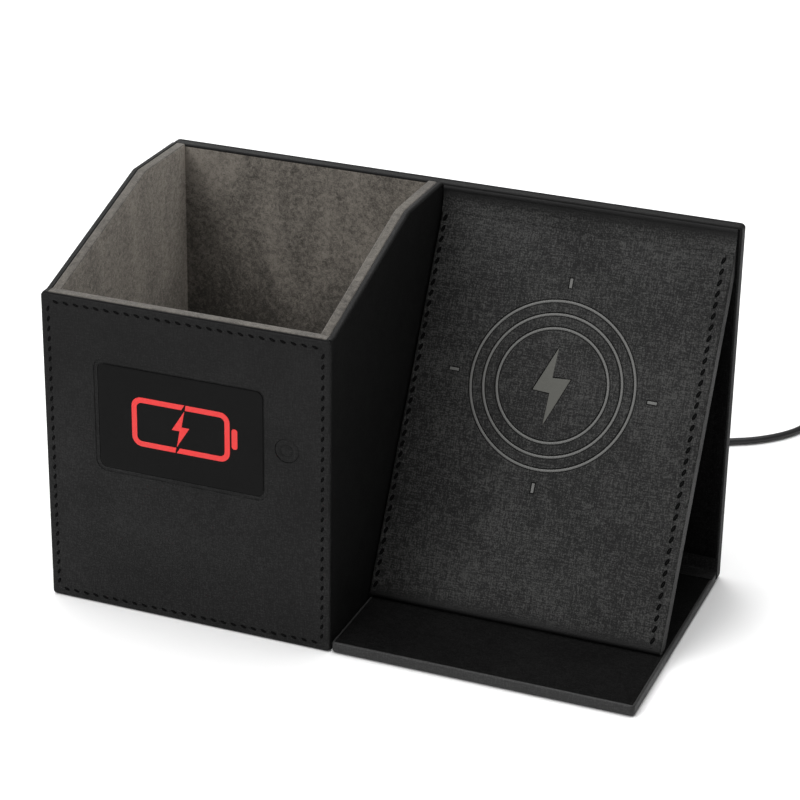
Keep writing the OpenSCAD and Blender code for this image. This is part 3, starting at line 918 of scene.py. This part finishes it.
RING_RADII = [27.5 * MM, 23.16 * MM, 18.6 * MM]
TICK_AT, TICK_L, TICK_W = 33.6 * MM, 3.2 * MM, 1.0 * MM
FLAP_SEAMS = (flap_low.x + 1.6 * MM, 95.3 * MM)
FLAP_BOLT = [(0.1, 12.8), (-6.2, -2.2), (-0.5, -2.5), (-0.8, -13.3), (5.8, 2.9), (-0.3, 2.5)]


def tick_bars(name, y0, y1, grow):
    """The four ticks round the rings."""
    bars = []
    for side_x, side_z in ((1, 0), (0, 1), (-1, 0), (0, -1)):
        x, z = ring_middle[0] + side_x * TICK_AT, ring_middle[1] + side_z * TICK_AT
        half_x = (TICK_L if side_x else TICK_W) / 2 + grow
        half_z = (TICK_L if side_z else TICK_W) / 2 + grow
        bars.append(block(name, (x - half_x, y0, z - half_z), (x + half_x, y1, z + half_z)))
    return bars


def make_flap():
    left, right = flap_low.x, flap_high.x
    cover = flap_plate("flap_leather_cover", left, right, 0, FLAP_T, 0, 0)
    bevel(cover, 2.1 * MM, 6, lambda place, way: near(place.y, 0) and near(place.z, -flap_l))
    bevel(cover, 0.95 * MM, 4, lambda place, way: near(place.y, 0)
          and (near(place.x, left) or near(place.x, right)))
    bevel(cover, 0.7 * MM, 4, lambda place, way: near(place.y, 0) and near(place.z, 0))
    bevel(cover, 0.35 * MM, 2, lambda place, way: near(place.y, FLAP_T))
    for x in FLAP_SEAMS:
        channel(cover, x, 0.14 * MM, 0)
    cover.data.materials.append(flap_leather)
    pressed = [ring_bar("ring_groove", radius, -0.08 * MM, 1.62 * MM, 0.5) for radius in RING_RADII]
    pressed += tick_bars("tick_groove", -MM, 0.28 * MM, 0.26 * MM)
    pressed.append(upright_plate("bolt_groove", grown(FLAP_BOLT, 0.36), -MM, 0.3 * MM))
    # The grooves take the darker pressed leather: partly real, partly painted shade.
    for cutter in pressed:
        cutter.data.materials.append(pressed_and_shaded_leather)
    carve(cover, flap_plate("board_room", left + SKIN, right - SKIN, SKIN, FLAP_T + MM, 2 * MM, SKIN),
          *pressed)
    bevel(cover, 0.12 * MM, 2, lambda place, way: near(place.y, 0)
          and dist((place.x, place.z), ring_middle) < 40 * MM and abs(way.y) < 0.1)
    smooth(cover, 35)
    onto_flap(cover)
    wear(cover, None, "charging_flap", "leather", "flap_cover")

    rings = joined("charging_rings",
                   [ring_bar("ring", radius, 0.28 * MM, 0.86 * MM, 0.42) for radius in RING_RADII])
    ticks = joined("charging_ticks", tick_bars("tick", 0.02 * MM, 0.3 * MM, -0.02 * MM))
    soften(ticks, 0.12 * MM)
    bolt = upright_plate("charging_bolt", grown(FLAP_BOLT, 0), 0.1 * MM, 0.34 * MM)
    soften(bolt, 0.12 * MM)
    for piece, finish in ((rings, ring_print), (ticks, ring_print), (bolt, bolt_print)):
        smooth(piece)
        onto_flap(piece)
        wear(piece, finish, "charging_flap", "leather_smooth")

    y = THREAD_DEEP
    runs = [((x, y, -3.4 * MM), (x, y, 3 * MM - flap_l), (0, -1, 0)) for x in FLAP_SEAMS]
    runs += [((x, -0.2 * MM, 0.2 * MM), (x, -0.1 * MM, -3.3 * MM), (0, -1, 0)) for x in FLAP_SEAMS]
    threads = sew("flap_stitches", flap_leather, 2.5 * MM, 1.15 * MM, runs, FLAP_PITCH)
    onto_flap(threads)
    wear(threads, None, "charging_flap", "leather")

    facing = flap_plate("flap_facing_leather", left + SKIN, right - SKIN, FLAP_T - SKIN, FLAP_T, 2 * MM, SKIN)
    with editing(facing, "FACE", lambda place, way: way.y > 0.9):
        pressed_line(2.3 * MM)
    smooth(facing)
    onto_flap(facing)
    wear(facing, base_leather, "charging_flap", "leather", "flap_facing")


def grown(points, margin):
    """The flap's bolt outline in place, its points moved out from the middle by a margin in millimetres."""
    outline = []
    for x, z in points:
        length = max(1, dist((x, z), (0, 0)))
        outline.append((ring_middle[0] + (x + x / length * margin) * MM,
                        ring_middle[1] + (z + z / length * margin) * MM))
    return outline


def make_flap_hinge():
    """The leather strip on which the flap hangs: a bead along the back panel's top, then a bend onto the
    flap."""
    low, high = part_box("flap_hinge")
    y = back_low.y - 0.2 * MM
    profile = [(y + dy * MM, z * MM) for dy, z in (
        (0.15, 126.25), (-0.08, 126), (-0.2, 125.65), (-0.2, 125.3), (-0.06, 125), (0.04, 124.7),
        (0.02, 124.3))]
    down = Vector((0, -sin(LEAN), -cos(LEAN)))
    inward = Vector((0, cos(LEAN), -sin(LEAN)))
    corner = Vector((0, y, hinge.z - (hinge.y - y) / tan(LEAN) + 0.2 * MM))
    reach = 3.1 * MM
    for step in range(9):
        share = step / 8
        point = corner + Vector((0, 0, reach)) * (1 - share) ** 2 + down * reach * share ** 2
        profile.append((point.y, point.z))
    tucked = corner + down * (reach + 0.7 * MM) + inward * 0.32 * MM
    profile.append((tucked.y, tucked.z))
    strip = ribbon("flap_hinge_strip", low.x, high.x, profile, STRIP_T)
    smooth(strip, 60)
    strip.data.materials.append(bent_leather)
    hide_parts("flap_hinge")
    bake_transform(strip)


# ---------------------------------------------------------------- base


def make_base():
    tray = block("base_leather_tray", base_low, base_high)
    bevel(tray, 1.4 * MM, 4, lambda place, way: abs(way.z) > 0.9)
    bevel(tray, 1.0 * MM, 4, lambda place, way: near(place.z, base_low.z))
    bevel(tray, 0.55 * MM, 3, lambda place, way: near(place.z, base_high.z))
    carve(tray, block("board_room", base_low + Vector((SKIN, SKIN, SKIN)),
                      base_high + Vector((-SKIN, -SKIN, MM))))
    smooth(tray)
    wear(tray, edge_leather, "base", "leather", "base_cover")

    low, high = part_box("base_facing")
    facing = block("base_facing_leather", low, high)
    bevel(facing, 0.3 * MM, 2, lambda place, way: near(place.z, high.z))
    smooth(facing)
    wear(facing, base_leather, "base", "leather", "base_facing")

    y = back_low.y - 0.2 * MM
    top = base_high.z + 0.16 * MM
    profile = [(y, 9 * MM), (y, 7.5 * MM), (y, 6.4 * MM)]
    profile += [(y - (1 - cos(turn)) * 1.4 * MM, top + (1 - sin(turn)) * 1.4 * MM)
                for turn in (0.4, 0.8, 1.2)]
    profile += [(y - 1.5 * MM, top), (y - 2.6 * MM, top), (y - 4.2 * MM, top), (y - 6 * MM, top)]
    strip = ribbon("base_hinge_strip", base_low.x, back_high.x, profile, STRIP_T)
    smooth(strip, 60)
    strip.data.materials.append(hinge_leather)
    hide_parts("base_hinge")
    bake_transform(strip)


# ---------------------------------------------------------------- lead

CORD_R = 1.25 * MM
LEAD = [
    (62, 49.5, 14), (62, 60, 14), (62, 69.5, 14), (62, 75, 13.6), (62, 80, 12.2), (62, 85, 9.6),
    (62, 90, 6.6), (62, 95, 4), (62, 100, 2.3), (62, 106, 1.5), (62, 113, 1.25), (62.2, 122, 1.25),
    (63.4, 131, 1.25), (66.2, 139.4, 1.25), (70.6, 146, 1.25), (76.2, 150.4, 1.25),
    (82.2, 153.9, 1.25), (88.2, 158.8, 1.25), (93.6, 165, 1.25), (97.4, 172, 1.25),
    (99.4, 180, 1.25), (100, 187, 1.25)]
TAIL = [
    (100, 193, 3.7), (100.8, 198, 3.4), (103, 203, 2.7), (107, 207.4, 1.9), (112, 210.2, 1.4),
    (119, 211.5, 1.25), (126, 210.6, 1.25), (133, 207.8, 1.25), (139, 203.4, 1.25),
    (143.6, 197.6, 1.3), (146.8, 190.6, 1.9), (148, 183, 3.1), (148, 176, 3.8)]


def through(points, steps=4):
    """More points on a smooth curve through the given ones."""
    points = [Vector(point) for point in points]
    last = len(points) - 1
    route = []
    for i in range(last):
        a, b, c, d = points[max(0, i - 1)], points[i], points[i + 1], points[min(last, i + 2)]
        for step in range(steps):
            t = step / steps
            route.append((2 * b + (c - a) * t + (2 * a - 5 * b + 4 * c - d) * t * t
                          + (3 * b - a - 3 * c + d) * t * t * t) / 2)
    return route + [points[last]]


def coil_turns():
    """Four turns inwards on the table and four outwards on top of them, from the coil's left side and back
    to it."""
    middle_x, middle_y = 119, 190
    inner, outer, turns, per_turn = 11.5, 19, 4, 36
    low, high = 1.25, 3.75
    count = 2 * turns * per_turn
    route = []
    for i in range(1, count):
        share = i / count
        angle = pi - 2 * pi * 2 * turns * share
        radius = inner + (outer - inner) * abs(1 - 2 * share)
        climb = min(1, max(0, (share - 0.5) * turns * 3 + 0.5))
        route.append(Vector((middle_x + radius * cos(angle), middle_y + radius * sin(angle),
                             low + (high - low) * climb)))
    return route


def make_lead():
    route = [point * MM for point in through(LEAD) + coil_turns() + through(TAIL)]
    line = bpy.data.curves.new("lead", "CURVE")
    line.dimensions = "3D"
    line.bevel_depth = CORD_R
    line.bevel_resolution = 3
    line.use_fill_caps = True
    spline = line.splines.new("POLY")
    spline.points.add(len(route) - 1)
    for point, place in zip(spline.points, route):
        point.co = (*place, 1)
    lead = bpy.data.objects.new("usb_lead", line)
    bpy.context.scene.collection.objects.link(lead)
    wear(lead, cord_jacket, "organiser", "cord", "cord_run", "cord_coil", "cord_tail")

    low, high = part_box("strain_relief")
    x, z = (low.x + high.x) / 2, (low.z + high.z) / 2
    bore, collar = 1.3 * MM, 2.95 * MM
    profile = [(bore, 0), (4.2 * MM, 0), (4.2 * MM, 1.2 * MM), (collar, 1.2 * MM), (collar, 4.2 * MM)]
    ribs, start, end = 6, 4.4 * MM, high.y - low.y - 0.6 * MM
    step = (end - start) / ribs
    for rib in range(ribs):
        wide = collar - (collar - 2.05 * MM) * (rib + 0.5) / ribs
        at = start + rib * step
        profile += [(wide - 0.55 * MM, at + 0.15 * step), (wide - 0.55 * MM, at + 0.4 * step),
                    (wide, at + 0.55 * step),
                    (wide, at + 0.95 * step)]
    profile += [(1.7 * MM, high.y - low.y), (bore, high.y - low.y), (bore, 0)]
    relief = turned("lead_strain_relief", profile, (x, low.y, z), 32)
    smooth(relief, 50)
    wear(relief, overmould, "organiser", "cord", "strain_relief")

    low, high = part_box("coil_tie")
    tie_t = 0.6 * MM
    tie = block("coil_tie_tape", low, high)
    carve(tie, block("turns_room", (low.x + tie_t, low.y - MM, low.z + tie_t),
                     (high.x - tie_t, high.y + MM, high.z - tie_t)))
    soften(tie, 0.25 * MM, 3)
    smooth(tie)
    wear(tie, tape, "organiser", "tie", "coil_tie")

    body, shell = make_plug()


def make_plug():
    low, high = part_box("usb_plug_body")
    x, z = (low.x + high.x) / 2, (low.z + high.z) / 2
    nose_l = 8 * MM
    shoulder = high.y - nose_l
    body = block("plug_grip", low, (high.x, shoulder, high.z))
    bevel(body, 2.2 * MM, 5, lambda place, way: abs(way.y) > 0.9)
    bevel(body, 0.7 * MM, 3, lambda place, way: abs(way.y) < 0.1
          and (near(place.y, low.y) or near(place.y, shoulder)))
    grooves = []
    for row in range(5):
        y = low.y + (8 + row * 2.2) * MM
        for side in (low.x, high.x):
            grooves.append(block("grip_groove", (side - 0.45 * MM, y, z - 2.2 * MM),
                                 (side + 0.45 * MM, y + MM, z + 2.2 * MM)))
    carve(body, *grooves)
    nose = turned("plug_nose", [
        (0, 0), (1.85 * MM, 0), (1.95 * MM, 0.4 * MM), (1.95 * MM, 2 * MM), (2.3 * MM, 2.3 * MM),
        (2.3 * MM, 4.6 * MM), (2.7 * MM, 4.9 * MM), (2.8 * MM, nose_l + 0.5 * MM), (0, nose_l + 0.5 * MM)],
        (x, shoulder - 0.5 * MM, z), 32)
    with editing(nose, "VERT", all_of):
        bpy.ops.transform.mirror(constraint_axis=(False, True, False),
                                 center_override=(x, high.y - (nose_l + 0.5 * MM) / 2, z))
        bpy.ops.mesh.normals_make_consistent(inside=False)
    body = joined("plug_overmould", [body, nose])
    smooth(body, 50)
    wear(body, overmould, "organiser", "plug_body", "usb_plug_body")

    low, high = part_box("usb_plug_shell")
    wall = 0.4 * MM
    shell = block("plug_metal_shell", low, high)
    bevel(shell, 0.5 * MM, 3, lambda place, way: abs(way.y) > 0.9)
    latches = [block("latch_hole", (x + side * 2.6 * MM - 1.1 * MM, low.y + 5 * MM, low.z - MM),
                     (x + side * 2.6 * MM + 1.1 * MM, low.y + 7.2 * MM, high.z + MM)) for side in (-1, 1)]
    carve(shell, block("shell_room", (low.x + wall, low.y - MM, low.z + wall),
                       (high.x - wall, high.y - wall, high.z - wall)),
          *latches)
    smooth(shell)
    shell.data.materials.append(steel)
    tongue = block("tongue", (low.x + 0.6 * MM, low.y + 0.6 * MM, z - 0.1 * MM),
                   (high.x - 0.6 * MM, high.y - wall, z + 1.7 * MM))
    tongue.data.materials.append(plug_tongue)
    contacts = []
    for index in range(4):
        cx = x + (index - 1.5) * 2.3 * MM
        contact = block("contact", (cx - 0.5 * MM, low.y + 1.4 * MM, z - 0.2 * MM),
                        (cx + 0.5 * MM, low.y + 8 * MM, z - 0.05 * MM))
        contact.data.materials.append(gold)
        contacts.append(contact)
    shell = joined("plug_metal_shell", [shell, tongue] + contacts)
    wear(shell, None, "organiser", "plug_shell", "usb_plug_shell")
    return body, shell


# ---------------------------------------------------------------- inner parts keep their CAD shape


def dress_inner_parts():
    finishes = {
        board: ["back_board", "left_wall_board", "right_wall_board", "floor_board", "facade_board",
                "flap_board",
                "base_board"],
        circuit: ["power_board", "led_board", "switch_board", "coil_board"],
        nickel: ["flap_magnets", "base_magnets"],
        copper: ["charging_coil"],
        ferrite: ["ferrite_sheet"],
        acrylic: ["light_guide"],
        overmould: ["cord_clamp"],
    }
    for finish, names in finishes.items():
        for name in names:
            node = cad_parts[name]
            node.data.materials.clear()
            node.data.materials.append(finish)
    for name in ("left_wall_board", "right_wall_board", "facade_board"):
        paint(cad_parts[name], edge_paint_and_shade, lambda place, way: way.z < -0.9)


# ---------------------------------------------------------------- stage


def make_stage():
    bpy.ops.mesh.primitive_plane_add(size=6, location=(0, 0.6, -0.0002))
    floor = bpy.context.object
    floor.name = "studio_floor"
    recipe = Recipe("studio_floor", Specular_IOR_Level=0.1)
    cloud = recipe.noise(recipe.place(), 400, 1, 0.4)
    floor.data.materials.append(recipe.done(
        Base_Color=recipe.mix(cloud, (0.86, 0.86, 0.86, 1), (0.89, 0.89, 0.89, 1)),
        Roughness=recipe.span(cloud, 0, 1, 0.85, 0.9)))

    lights = (
        ("overhead", (-0.2, 0.1, 1.5), 1.6, 30),
        ("front_left", (-0.7, -1.3, 1.0), 0.9, 14.5),
        ("back_left", (-0.9, 1.2, 0.9), 0.8, 5),
    )
    for name, place, size, power in lights:
        lamp = bpy.data.lights.new(name, "AREA")
        lamp.size, lamp.energy = size, power
        obj = bpy.data.objects.new(name, lamp)
        obj.location = place
        obj.rotation_euler = (Vector((0, 0, 0.05)) - Vector(place)).to_track_quat("-Z", "Y").to_euler()
        bpy.context.scene.collection.objects.link(obj)
    world = bpy.data.worlds.new("studio")
    world.use_nodes = True
    world.node_tree.nodes["Background"].inputs["Color"].default_value = (1, 1, 1, 1)
    world.node_tree.nodes["Background"].inputs["Strength"].default_value = 0.42
    bpy.context.scene.world = world
    bpy.context.scene.view_settings.view_transform = "Standard"


make_camera()
make_lead()
make_stage()
make_back_panel()
make_pen_box()
make_facade()
make_flap()
make_flap_hinge()
make_base()
dress_inner_parts()
